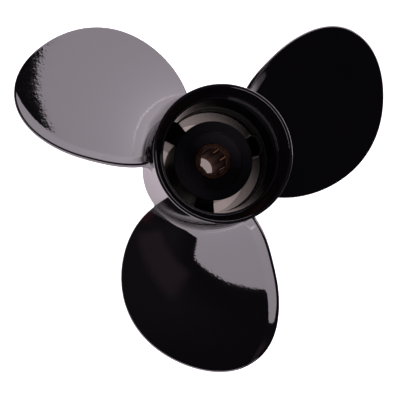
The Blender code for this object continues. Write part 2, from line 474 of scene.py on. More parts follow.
@dataclass(frozen=True)
class BrownedBrass:
    """Brass sleeve with broaching marks along the bore and a brown tarnish in patches.

    The bore is dull and browner, apart from the rear of its grooves. A pair of lengths is a
    soft edge: a share is 0 at the first radius or height above the front and 1 at the second.
    """

    bright: Point = (0.42, 0.21, 0.11)
    brown: Point = (0.12, 0.042, 0.016)
    bore_brown: Point = (0.220, 0.100, 0.070)
    groove_tone: Point = (0.33, 0.28, 0.25)
    edge_tint: Point = (0.60, 0.42, 0.32)
    patch_scale: float = 420.0
    patch_limits: Pair = (0.30, 0.62)
    smoothest: float = 0.30
    roughest: float = 0.50
    bore_roughness: float = 0.62
    groove_roughness: float = 0.16
    bore_metal: float = 0.45
    inside_bore: Pair = (0.0076, 0.0075)
    in_groove: Pair = (0.0070, 0.0073)
    groove_rear: Pair = (0.0350, 0.0380)
    mark_scale: float = 2400.0
    mark_stretch: float = 0.04
    mark_height: float = 0.000012

    def build(self) -> bpy.types.Material:
        """Makes the material.

        Returns:
            The material.
        """
        material, nodes, shader = start_material("browned_brass")
        patches = nodes.noise(self.patch_scale, 4.0, (0.2, 0.5, 0.1))
        stops = tuple(zip(self.patch_limits, (self.brown, self.bright)))
        tone = nodes.add("ShaderNodeValToRGB", {"stops": stops}, {"Fac": patches})
        radius, height = nodes.shaft_place()
        bore = nodes.ramp(radius, *self.inside_bore)
        groove = nodes.ramp(radius, *self.in_groove) * nodes.ramp(height, *self.groove_rear)
        dull = bore * (1.0 - groove)
        shade = nodes.mix(bore * groove, tone.outputs["Color"], self.groove_tone)
        roughness = self.smoothest + (self.roughest - self.smoothest) * patches
        roughness = roughness + (self.bore_roughness - roughness) * dull
        roughness = roughness + (self.groove_roughness - roughness) * bore * groove
        marks = nodes.noise(self.mark_scale, 2.0, stretch=(1.0, 1.0, self.mark_stretch))
        add_bump(nodes, shader, marks * self.mark_height)
        nodes.feed(
            shader,
            {
                "Base Color": nodes.mix(dull, shade, self.bore_brown),
                "Roughness": roughness,
                "Metallic": 1.0 - (1.0 - self.bore_metal) * dull,
                "Specular Tint": (*self.edge_tint, 1.0),
            },
        )
        return material


@dataclass(frozen=True)
class PaleFloor:
    """Pale floor that the camera sees evenly white outside the hub, so that the propeller throws
    no hard shadow on it.

    Other rays meet a darker floor whose glow is painted light and painted shade: the paint mirrors
    a painted pool of light that grows from the hub towards each soft box, with painted shade near
    the hub and elsewhere. Under the hub, where the camera sees it too, a faint warm painted shadow
    has its level given for azimuths all round. A pair is a soft edge, in radii or in cosines.
    """

    pale: Point = (0.20, 0.19, 0.20)
    white: Point = (0.90, 0.89, 0.90)
    seen_glow: Point = (1.0, 1.0, 1.0)
    # Painted light: the floor's glow far out towards each soft box.
    painted_glow: Point = (4.2, 3.72, 4.1)
    # Painted shade: the dim glow near the hub and away from the soft boxes.
    painted_shade_glow: Point = (0.33, 0.28, 0.31)
    # Painted shadow under the hub, and its level by azimuth, lower where the hub would shade the
    # floor.
    under_hub_shadow: Point = (0.280, 0.226, 0.221)
    under_hub_shadow_turns: tuple[Pair, ...] = (
        (-180.0, 0.55),
        (-174.0, 0.08),
        (-125.0, 0.03),
        (-110.0, 0.06),
        (-95.0, 0.13),
        (-86.0, 0.18),
        (-75.0, 0.95),
        (-45.0, 1.0),
        (-28.0, 0.76),
        (0.0, 0.48),
        (16.0, 0.22),
        (45.0, 0.22),
        (62.0, 0.60),
        (90.0, 0.92),
        (112.0, 1.20),
        (143.0, 1.10),
        (147.0, 0.30),
        (159.0, 0.32),
        (163.0, 1.0),
        (172.0, 1.0),
        (180.0, 0.55),
    )
    under_passages: Pair = (0.012, 0.016)
    outside_hub: Pair = (0.0348, 0.0352)
    glow_reach: Pair = (0.025, 0.230)
    bright_turns: Pair = (64.0, 229.0)
    sector_edge: Pair = (0.45, 0.72)
    axis_guard: float = 0.001
    roughness: float = 0.9

    def towards_lights(self, nodes: Nodes, radius: Number) -> Number:
        """Finds the sectors of the floor before the soft boxes.

        Args:
            nodes: the tree under construction.
            radius: distance from the shaft.

        Returns:
            A number that is 1 in the sectors and 0 elsewhere.
        """
        first, second = [
            nodes.ramp(nodes.towards(turn) / (radius + self.axis_guard), *self.sector_edge)
            for turn in self.bright_turns
        ]
        return first + second

    def painted_under_hub_shadow(self, nodes: Nodes, radius: Number) -> bpy.types.NodeSocket:
        """Paints shade and light on the floor that is seen through the hub.

        Args:
            nodes: the tree under construction.
            radius: distance from the shaft.

        Returns:
            A colour that is even on the axis and uneven round the passages.
        """
        x, y, _ = nodes.object_place()
        stops = tuple(
            (turn / 360.0 + 0.5, tuple(level * part for part in self.under_hub_shadow))
            for turn, level in self.under_hub_shadow_turns
        )
        around = y.turn_from(x) / math.tau + 0.5
        colours = nodes.add("ShaderNodeValToRGB", {"stops": stops}, {"Fac": around})
        outer = nodes.ramp(radius, *self.under_passages)
        return nodes.mix(outer, self.under_hub_shadow, colours.outputs["Color"])

    def build(self) -> bpy.types.Material:
        """Makes the material.

        Returns:
            The material.
        """
        material, nodes, shader = start_material("pale_floor")
        radius, _ = nodes.shaft_place()
        outside = nodes.ramp(radius, *self.outside_hub)
        seen = nodes.number(nodes.add("ShaderNodeLightPath"), "Is Camera Ray") * outside
        # Painted light and shade for rays other than the camera's: glow rising towards the soft
        # boxes, dim near the hub.
        rising = nodes.ramp(radius, *self.glow_reach, shape="LINEAR")
        painted_glow = nodes.mix(rising * self.towards_lights(nodes, radius), self.painted_shade_glow, self.painted_glow)
        painted_glow = nodes.mix(outside, self.painted_under_hub_shadow(nodes, radius), painted_glow)
        nodes.feed(
            shader,
            {
                "Base Color": nodes.mix(seen, self.pale, self.white),
                "Emission Color": nodes.mix(seen, painted_glow, self.seen_glow),
                "Emission Strength": 1.0,
                "Roughness": self.roughness,
                "Specular IOR Level": 0.0,
            },
        )
        return material


@dataclass
class Finishes:
    """The built materials, shared by all pieces."""

    paint: bpy.types.Material
    rubber: bpy.types.Material
    brass: bpy.types.Material

    @classmethod
    def build(cls) -> "Finishes":
        """Builds each finish once."""
        return cls(GlossPaint().build(), MouldedRubber().build(), BrownedBrass().build())


def rounded_outline(corners: Sequence[Point], steps: int = 6) -> list[Pair]:
    """Rounds the corners of a closed outline.

    Args:
        corners: (radius, height, corner rounding) of each corner, in order.
        steps: segments in each rounded corner.

    Returns:
        The points of the rounded outline.
    """
    points = []
    for index, (radius, height, rounding) in enumerate(corners):
        here = np.array((radius, height))
        before = np.array(corners[index - 1][:2]) - here
        after = np.array(corners[(index + 1) % len(corners)][:2]) - here
        before_length, after_length = np.linalg.norm(before), np.linalg.norm(after)
        before, after = before / before_length, after / after_length
        half_angle = math.acos(float(np.clip(before @ after, -1.0, 1.0))) / 2
        inset = rounding / math.tan(half_angle)
        inset = min(inset, MOST_OF_A_SIDE * before_length, MOST_OF_A_SIDE * after_length)
        true_rounding = inset * math.tan(half_angle)
        bisector = (before + after) / np.linalg.norm(before + after)
        centre = here + bisector * true_rounding / math.sin(half_angle)
        start = here + before * inset - centre
        end = here + after * inset - centre
        sweep = math.acos(float(np.clip(start @ end / true_rounding**2, -1.0, 1.0)))
        for step in range(steps + 1):
            part = step / steps
            weight = math.sin((1 - part) * sweep), math.sin(part * sweep)
            point = centre + (start * weight[0] + end * weight[1]) / math.sin(sweep)
            points.append((float(point[0]), float(point[1])))
    return points


def subdivided(points: Sequence[Pair], longest: float, margin: float = 0.00004) -> list[Pair]:
    """Splits long sides of a closed outline, with a point near each end that keeps them flat.

    Args:
        points: the outline's points.
        longest: longest side that is left whole.
        margin: distance of the flattening points from the ends. Short sides get none.

    Returns:
        The outline with points added.
    """
    result = []
    for start, end in zip(points, [*points[1:], points[0]]):
        length = math.dist(start, end)
        count = max(1, math.ceil(length / longest))
        parts = [step / count for step in range(count)]
        if length > 6 * margin:
            parts = sorted([*parts, margin / length, 1 - margin / length])
        for part in parts:
            place = np.array(start) * (1 - part) + np.array(end) * part
            result.append((float(place[0]), float(place[1])))
    return result


def plain_object(name: str, vertices: np.ndarray | Sequence, faces: Sequence) -> bpy.types.Object:
    """Makes a mesh object and links it to the scene.

    Args:
        name: the object's name.
        vertices: places of the vertices.
        faces: vertex indices of each face; an edge list is given as pairs.

    Returns:
        The object.
    """
    mesh = bpy.data.meshes.new(name)
    pairs = [face for face in faces if len(face) == 2]
    wholes = [face for face in faces if len(face) > 2]
    mesh.from_pydata([tuple(map(float, place)) for place in vertices], pairs, wholes)
    item = bpy.data.objects.new(name, mesh)
    bpy.context.scene.collection.objects.link(item)
    return item


class MeshParts:
    """Vertices and faces of a mesh that is put together from grids."""

    def __init__(self) -> None:
        """Starts with nothing."""
        self.places: list[np.ndarray] = []
        self.faces: list[tuple[int, ...]] = []

    def keep(self, block: np.ndarray) -> np.ndarray:
        """Stores places.

        Args:
            block: places, of shape (..., 3).

        Returns:
            Their indices, of shape (...).
        """
        start = sum(len(part) for part in self.places)
        self.places.append(block.reshape(-1, 3))
        return np.arange(start, start + len(self.places[-1])).reshape(block.shape[:-1])

    def add_face(self, *indices: int) -> None:
        """Adds one face."""
        self.faces.append(tuple(int(index) for index in indices))

    def add_skin(self, grid: Sequence[np.ndarray]) -> None:
        """Adds the quads between neighbouring rows of a grid.

        Args:
            grid: rows of vertex indices, all of one length.
        """
        for low, high in zip(grid[:-1], grid[1:]):
            for quad in zip(low[:-1], low[1:], high[1:], high[:-1]):
                self.add_face(*quad)

    def make(self, name: str) -> bpy.types.Object:
        """Makes the object."""
        return plain_object(name, np.concatenate(self.places), self.faces)


def finish_mesh(item: bpy.types.Object, material: bpy.types.Material, crease: float) -> None:
    """Merges doubles, turns faces outwards, shades smooth and gives the material.

    Args:
        item: the object to finish.
        material: its material.
        crease: angle above which an edge stays sharp, in degrees.
    """
    shape = bmesh.new()
    shape.from_mesh(item.data)
    bmesh.ops.remove_doubles(shape, verts=shape.verts, dist=MERGE_DISTANCE)
    bmesh.ops.dissolve_degenerate(shape, edges=shape.edges, dist=SHORTEST_EDGE)
    bmesh.ops.recalc_face_normals(shape, faces=shape.faces)
    shape.to_mesh(item.data)
    shape.free()
    item.data.shade_smooth()
    item.data.set_sharp_from_angle(angle=math.radians(crease))
    item.data.materials.clear()
    item.data.materials.append(material)


def declare(item: bpy.types.Object, slot: Slot, *nodes: str) -> None:
    """Parents a piece to the root body, hides the CAD nodes that it stands for and logs it.

    Args:
        item: the piece.
        slot: not used.
        nodes: the CAD nodes that it replaces.
    """
    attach(item, "root")
    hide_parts(*nodes)
    LOG.info(
        "%s: %d faces, stands for %s", item.name, len(item.data.polygons), ", ".join(nodes)
    )


class ShapeTree:
    """A Geometry Nodes tree with named inputs that ends in Realize Instances and Set Material."""

    def __init__(self, name: str, inputs: dict[str, tuple[str, object]]) -> None:
        """Starts the tree.

        Args:
            name: the tree's name.
            inputs: socket type and default value of each named input.
        """
        self.tree = bpy.data.node_groups.new(name, "GeometryNodeTree")
        sockets = self.tree.interface
        sockets.new_socket("Geometry", in_out="INPUT", socket_type="NodeSocketGeometry")
        self.identifiers = {}
        for label, (kind, default) in inputs.items():
            socket = sockets.new_socket(label, in_out="INPUT", socket_type=kind)
            if default is not None:
                socket.default_value = default
            self.identifiers[label] = socket.identifier
        material = sockets.new_socket("Finish", in_out="INPUT", socket_type="NodeSocketMaterial")
        self.identifiers["Finish"] = material.identifier
        sockets.new_socket("Geometry", in_out="OUTPUT", socket_type="NodeSocketGeometry")
        self.nodes = Nodes(self.tree)
        self.source = self.nodes.add("NodeGroupInput")

    def close(self, shape: bpy.types.NodeSocket) -> None:
        """Adds the closing nodes.

        Args:
            shape: the geometry that the tree has made.
        """
        real = self.nodes.add("GeometryNodeRealizeInstances", inputs={"Geometry": shape})
        dressed = self.nodes.add(
            "GeometryNodeSetMaterial",
            inputs={"Geometry": real.outputs[0], "Material": self.source.outputs["Finish"]},
        )
        self.nodes.add("NodeGroupOutput", inputs={"Geometry": dressed.outputs[0]})

    def bake(self, item: bpy.types.Object, values: dict[str, object]) -> None:
        """Runs the tree on an object and keeps the result as its plain mesh.

        Args:
            item: the object, whose mesh is the tree's input.
            values: value of each named input.
        """
        modifier = item.modifiers.new("shape", "NODES")
        modifier.node_group = self.tree
        for label, value in values.items():
            modifier[self.identifiers[label]] = value
        view = bpy.context.evaluated_depsgraph_get()
        made = bpy.data.meshes.new_from_object(item.evaluated_get(view))
        item.modifiers.remove(modifier)
        old = item.data
        item.data = made
        bpy.data.meshes.remove(old)


def build_lathe(base_radius: float = 0.03) -> ShapeTree:
    """Makes the tree that turns a closed profile once round the shaft.

    Its input mesh is the profile, with the radius along X and the height along Y.

    Args:
        base_radius: radius of the circle that carries the profile, which is shifted back by it.

    Returns:
        The tree.
    """
    lathe = ShapeTree("lathe", {"Segments": ("NodeSocketInt", 96)})
    nodes, source = lathe.nodes, lathe.source
    profile = nodes.add(
        "GeometryNodeMeshToCurve", inputs={"Mesh": source.outputs["Geometry"]}
    )
    path = nodes.add(
        "GeometryNodeCurvePrimitiveCircle",
        {"mode": "RADIUS"},
        {"Resolution": source.outputs["Segments"], "Radius": base_radius},
    )
    upright = nodes.add(
        "GeometryNodeSetCurveNormal", {"mode": "Z_UP"}, {"Curve": path.outputs["Curve"]}
    )
    shifted = nodes.add(
        "GeometryNodeTransform",
        inputs={
            "Geometry": profile.outputs["Curve"],
            "Translation": (-base_radius, 0.0, 0.0),
            "Scale": (1.0, -1.0, 1.0),
        },
    )
    turned = nodes.add(
        "GeometryNodeCurveToMesh",
        inputs={"Curve": upright.outputs["Curve"], "Profile Curve": shifted.outputs[0]},
    )
    lathe.close(turned.outputs["Mesh"])
    return lathe


def build_repeater() -> ShapeTree:
    """Makes the tree that repeats its input mesh evenly round the shaft and welds the copies.

    Returns:
        The tree.
    """
    repeater = ShapeTree(
        "repeater", {"Count": ("NodeSocketInt", 3), "Weld": ("NodeSocketFloat", 0.000005)}
    )
    nodes, source = repeater.nodes, repeater.source
    points = nodes.add(
        "GeometryNodeMeshLine",
        inputs={"Count": source.outputs["Count"], "Offset": (0.0, 0.0, 0.0)},
    )
    index = nodes.number(nodes.add("GeometryNodeInputIndex"))
    turn = index * math.tau / Number(repeater.tree, source.outputs["Count"])
    rotation = nodes.add("ShaderNodeCombineXYZ", inputs={"Z": turn})
    placed = nodes.add(
        "GeometryNodeInstanceOnPoints",
        inputs={
            "Points": points.outputs["Mesh"],
            "Instance": source.outputs["Geometry"],
            "Rotation": rotation.outputs[0],
        },
    )
    real = nodes.add("GeometryNodeRealizeInstances", inputs={"Geometry": placed.outputs[0]})
    welded = nodes.add(
        "GeometryNodeMergeByDistance",
        inputs={"Geometry": real.outputs[0], "Distance": source.outputs["Weld"]},
    )
    repeater.close(welded.outputs[0])
    return repeater


@dataclass
class Hub:
    """The barrel with its flared mouth, and the inner hub, its ribs and the bushing.

    Bends are corners of a profile: (radius, height above the front, rounding).
    """

    finishes: Finishes
    lathe: ShapeTree
    repeater: ShapeTree
    barrel_length: float = 0.0850
    hub_length: float = 0.0963
    barrel_front_radius: float = 0.0353
    barrel_rear_radius: float = 0.0342
    barrel_front_rounding: float = 0.0010
    waist_rounding: float = 0.0300
    bore: tuple[Pair, ...] = (
        (0.0, 0.0279),
        (0.0470, 0.0283),
        (0.0476, 0.0287),
        (0.0655, 0.02845),
        (0.0850, 0.0296),
    )
    bore_rounding: float = 0.0002
    rim_radius: float = 0.03575
    mouth_radius: float = 0.0341
    rim_rounding: float = 0.00045
    mouth_bend: Point = (0.0321, 0.0906, 0.0200)
    throat_bend: Point = (0.0312, 0.0880, 0.0060)
    throat_radius: float = 0.0308
    throat_rounding: float = 0.00015
    ledge_radius: float = 0.0300
    ledge_rise: float = 0.00006
    ledge_rounding: float = 0.00012
    ledge_chamfer: float = 0.0007
    chamfer_rounding: float = 0.0002
    inner_front: float = 0.0020
    inner_rear: float = 0.0590
    inner_front_radius: float = 0.0222
    inner_rear_radius: float = 0.02180
    inner_bore: float = 0.0160
    inner_roundings: tuple[float, ...] = (0.0005, 0.0010, 0.0004, 0.0002)
    bushing_inner: float = 0.0097
    bushing_front: float = 0.0030
    bushing_rear: float = 0.0575
    bushing_rounding: float = 0.0002
    dish: float = 0.0002
    dish_rounding: float = 0.0100
    rib_front: float = 0.0040
    rib_rear: float = 0.0472
    rib_front_spread: float = 21.0
    rib_rear_spread: float = 25.6
    rib_fillet: float = 0.0008
    rib_rounding: float = 0.0005
    rib_sunk: float = 0.0004
    rib_reach: float = 0.0040
    rib_shelf: float = 0.0005
    rib_rise: float = 0.0095
    rib_columns: int = 12
    first_rib: float = 31.0
    ribs: int = 3
    segments: int = 192
    longest_side: float = 0.004
    turned_crease: float = 50.0
    rib_crease: float = 60.0

    def barrel_radius(self, height: float) -> float:
        """Outer radius of the barrel at a height above the front."""
        ends = (self.barrel_front_radius, self.barrel_rear_radius)
        return ends[0] + (ends[1] - ends[0]) * (height / self.barrel_length)

    def bore_radius(self, height: float) -> float:
        """Radius of the barrel's bore at a height above the front."""
        heights, radii = zip(*self.bore)
        return float(np.interp(height, heights, radii))

    def inner_radius(self, height: float) -> float:
        """Outer radius of the inner hub at a height above the front."""
        part = (height - self.inner_front) / (self.inner_rear - self.inner_front)
        return self.inner_front_radius + (self.inner_rear_radius - self.inner_front_radius) * part

    def turned(
        self, name: str, profile: Sequence[Point], material: bpy.types.Material
    ) -> bpy.types.Object:
        """Turns a profile with rounded corners on the lathe.

        Args:
            name: the piece's name.
            profile: (radius, height above the front, rounding) of each corner.
            material: the piece's finish.

        Returns:
            The piece.
        """
        outline = subdivided(rounded_outline(profile), self.longest_side)
        places = [(radius, height - FRONT_TO_ORIGIN, 0.0) for radius, height in outline]
        count = len(places)
        item = plain_object(name, places, [(i, (i + 1) % count) for i in range(count)])
        self.lathe.bake(item, {"Segments": self.segments, "Finish": material})
        finish_mesh(item, material, self.turned_crease)
        return item

    def build_barrel(self) -> None:
        """Makes the barrel with its flared mouth and the ledge inside it."""
        (_, front), *bends, (_, rear) = self.bore
        length = self.barrel_length
        item = self.turned(
            "barrel_shell",
            (
                *[(radius, height, self.bore_rounding) for height, radius in bends[::-1]],
                (front, 0.0, self.barrel_front_rounding),
                (self.barrel_front_radius, 0.0, self.barrel_front_rounding),
                (self.barrel_rear_radius, length, self.waist_rounding),
                (self.rim_radius, self.hub_length, self.rim_rounding),
                (self.mouth_radius, self.hub_length, self.rim_rounding),
                self.mouth_bend,
                self.throat_bend,
                (self.throat_radius, length + self.ledge_rise, self.throat_rounding),
                (self.ledge_radius, length, self.ledge_rounding),
                (rear, length - self.ledge_chamfer, self.chamfer_rounding),
            ),
            self.finishes.paint,
        )
        declare(item, Slot.PAINT, "outer_barrel", "diffuser_ring")

    def build_inner_hub(self) -> None:
        """Makes the tube that holds the bushing."""
        outline = (
            (self.inner_bore, self.inner_front),
            (self.inner_front_radius, self.inner_front),
            (self.inner_rear_radius, self.inner_rear),
            (self.inner_bore, self.inner_rear),
        )
        profile = [
            (*corner, rounding) for corner, rounding in zip(outline, self.inner_roundings)
        ]
        item = self.turned("inner_hub_casting", profile, self.finishes.paint)
        declare(item, Slot.PAINT, "inner_hub")

    def build_bushing(self) -> None:
        """Makes the rubber bushing, whose ends are dished between hub and sleeve."""
        middle = (self.bushing_inner + self.inner_bore) / 2
        rounding = self.bushing_rounding
        item = self.turned(
            "bushing",
            (
                (self.bushing_inner, self.bushing_front, rounding),
                (middle, self.bushing_front + self.dish, self.dish_rounding),
                (self.inner_bore, self.bushing_front, rounding),
                (self.inner_bore, self.bushing_rear, rounding),
                (middle, self.bushing_rear - self.dish, self.dish_rounding),
                (self.bushing_inner, self.bushing_rear, rounding),
            ),
            self.finishes.rubber,
        )
        declare(item, Slot.RUBBER, "rubber_bushing")

    def rib_flank(self, height: float, inset: float) -> np.ndarray:
        """One flank of a rib, which flares into the inner hub and the barrel.

        Args:
            height: height above the front.
            inset: how far the flank is drawn in at a rounded end.

        Returns:
            Rows (radius, half turn from the rib's middle in radians), from inside to outside.
        """
        fillet, sunk = self.rib_fillet, self.rib_sunk
        heights = (self.rib_front, self.rib_rear)
        spread = np.interp(height, heights, (self.rib_front_spread, self.rib_rear_spread))
        inner, outer = self.inner_radius(height), self.bore_radius(height)
        near_wall = fillet * (1 - np.cos(np.linspace(0.0, math.pi / 2, 8)))
        plain = np.linspace(inner + fillet, outer - fillet, 5)[1:-1]
        radii = np.concatenate([inner + near_wall, plain, outer - near_wall[::-1]])
        to_wall = np.clip(np.minimum(radii - inner, outer - radii), 0.0, fillet)
        flare = fillet - np.sqrt(fillet**2 - (fillet - to_wall) ** 2)
        turns = math.radians(spread / 2) + (flare - inset) / radii
        radii = np.array([inner - sunk, *radii, outer + sunk])
        return np.stack([radii, np.pad(turns, 1, mode="edge")], axis=-1)

    def rib_lift(self, radii: np.ndarray, share: float) -> np.ndarray:
        """Height by which a rib's rear end climbs the barrel's wall.

        Args:
            radii: distances from the shaft axis.
            share: place across the rib, from -1 on one flank to 1 on the other.

        Returns:
            The height at each radius.
        """
        wall = self.bore_radius(self.rib_rear)
        part = (radii - wall + self.rib_reach) / (self.rib_reach - self.rib_shelf)
        part = np.clip(part, 0.0, 1.0)
        return self.rib_rise * (1 - np.sqrt(1 - part**2)) * (1 - share**6)

    def rib_levels(self) -> list[Pair]:
        """Cuts a rib into levels, with its ends rounded.

        Returns:
            Height above the front and inset of the flanks, from the front to the rear.
        """
        rounding = self.rib_rounding
        angles = np.linspace(0.0, math.pi / 2, 7)
        insets = rounding * (1 - np.sin(angles))
        rises = rounding * (1 - np.cos(angles))
        middle = np.linspace(self.rib_front + rounding, self.rib_rear - rounding, 9)[1:-1]
        return [
            *zip(self.rib_front + rises, insets),
            *[(height, 0.0) for height in middle],
            *zip(self.rib_rear - rises[::-1], insets[::-1]),
        ]

    def rib_grids(self) -> list[np.ndarray]:
        """Lays grids over the sides of the first rib.

        Returns:
            Grids of (radius, turn in radians, height above the front): two flanks, the front
            and the rear end, and the sides sunk in the inner hub and in the barrel.
        """
        levels = self.rib_levels()
        turn = math.radians(self.first_rib)
        shares = np.linspace(-1.0, 1.0, self.rib_columns + 1)
        flanks = [self.rib_flank(*level).T for level in levels]
        grids = []
        for sign in (-1, 1):
            rows = [
                (radii, turn + sign * turns, np.full(len(radii), height))
                for (height, _), (radii, turns) in zip(levels, flanks)
            ]
            grids.append(rows)
        for end, climbs in ((0, False), (-1, True)):
            radii, turns = flanks[end]
            rows = []
            for share in shares:
                lift = self.rib_lift(radii, share) * climbs
                rows.append((radii, turn + share * turns, levels[end][0] + lift))
            grids.append(rows)
        for side in (0, -1):
            rows = []
            for share in shares:
                radii = np.array([flank[0][side] for flank in flanks])
                turns = np.array([turn + share * flank[1][side] for flank in flanks])
                heights = np.array([height for height, _ in levels])
                heights[-1] += self.rib_lift(radii[-1:], share)[0]
                rows.append((radii, turns, heights))
            grids.append(rows)
        return [np.stack([np.stack(row, axis=-1) for row in rows]) for rows in grids]

    def build_ribs(self) -> None:
        """Makes one rib with rounded ends and repeats it round the hub."""
        parts = MeshParts()
        for grid in self.rib_grids():
            radii, turns, heights = np.moveaxis(grid, -1, 0)
            places = (radii * np.cos(turns), radii * np.sin(turns), heights - FRONT_TO_ORIGIN)
            parts.add_skin(parts.keep(np.stack(places, axis=-1)))
        item = parts.make("hub_ribs")
        self.repeater.bake(item, {"Count": self.ribs, "Finish": self.finishes.paint})
        finish_mesh(item, self.finishes.paint, self.rib_crease)
        declare(item, Slot.PAINT, "hub_rib_1", "hub_rib_2", "hub_rib_3")

    def build(self) -> None:
        """Makes every piece of the hub."""
        self.build_barrel()
        self.build_inner_hub()
        self.build_ribs()
        self.build_bushing()


@dataclass
class SplinedSleeve:
    """The brass sleeve: one sector of its toothed bore, repeated and welded.

    The bore has broad teeth with narrow grooves, and a smooth front end. A groove's corners
    are given as parts of the way round one sector.
    """

    finishes: Finishes
    repeater: ShapeTree
    teeth: int = 8
    front: float = 0.0020
    rear: float = 0.0580
    smooth_rear: float = 0.0100
    spline_front: float = 0.0110
    skin_radius: float = 0.0098
    smooth_radius: float = 0.0071
    groove_radius: float = 0.0074
    tip_radius: float = 0.0067
    groove_corners: tuple[float, ...] = (-0.13, 0.42, 0.56, 0.73, 0.87, 1.42)
    groove_depths: tuple[float, ...] = (0.0, 0.0, 1.0, 1.0, 0.0, 0.0)
    corner_softness: float = 0.035
    chamfer: float = 0.0003
    sector_steps: int = 24
    crease: float = 40.0

    def bore_radius(self, part: float) -> float:
        """Finds the radius of the toothed bore, with rounded tooth corners.

        Args:
            part: part of the way round one sector.

        Returns:
            The radius.
        """
        places = [part + shift * self.corner_softness for shift in (-1, 0, 1)]
        depths = np.interp(places, self.groove_corners, self.groove_depths)
        return self.tip_radius + (self.groove_radius - self.tip_radius) * float(np.mean(depths))

    def build(self) -> None:
        """Makes the sleeve."""
        chamfer = self.chamfer
        rings = (
            (self.front, "skin", -chamfer),
            (self.front + chamfer, "skin", 0.0),
            (self.rear - chamfer, "skin", 0.0),
            (self.rear, "skin", -chamfer),
            (self.rear, "bore", chamfer),
            (self.rear - chamfer, "bore", 0.0),
            (self.spline_front, "bore", 0.0),
            (self.smooth_rear, "smooth", 0.0),
            (self.front + chamfer, "smooth", 0.0),
            (self.front, "smooth", chamfer),
        )
        steps = np.arange(self.sector_steps + 1) / self.sector_steps
        turns = math.tau / self.teeth * steps
        radii = {
            "skin": np.full(len(steps), self.skin_radius),
            "smooth": np.full(len(steps), self.smooth_radius),
            "bore": np.array([self.bore_radius(part) for part in steps]),
        }
        rows = []
        for height, side, change in rings:
            radius = radii[side] + change
            level = np.full(len(steps), height - FRONT_TO_ORIGIN)
            rows.append(np.stack([radius * np.cos(turns), radius * np.sin(turns), level], -1))
        parts = MeshParts()
        indices = parts.keep(np.stack(rows))
        parts.add_skin([*indices, indices[0]])
        item = parts.make("sleeve")
        self.repeater.bake(item, {"Count": self.teeth, "Finish": self.finishes.brass})
        finish_mesh(item, self.finishes.brass, self.crease)
        declare(item, Slot.BRASS, "splined_sleeve")


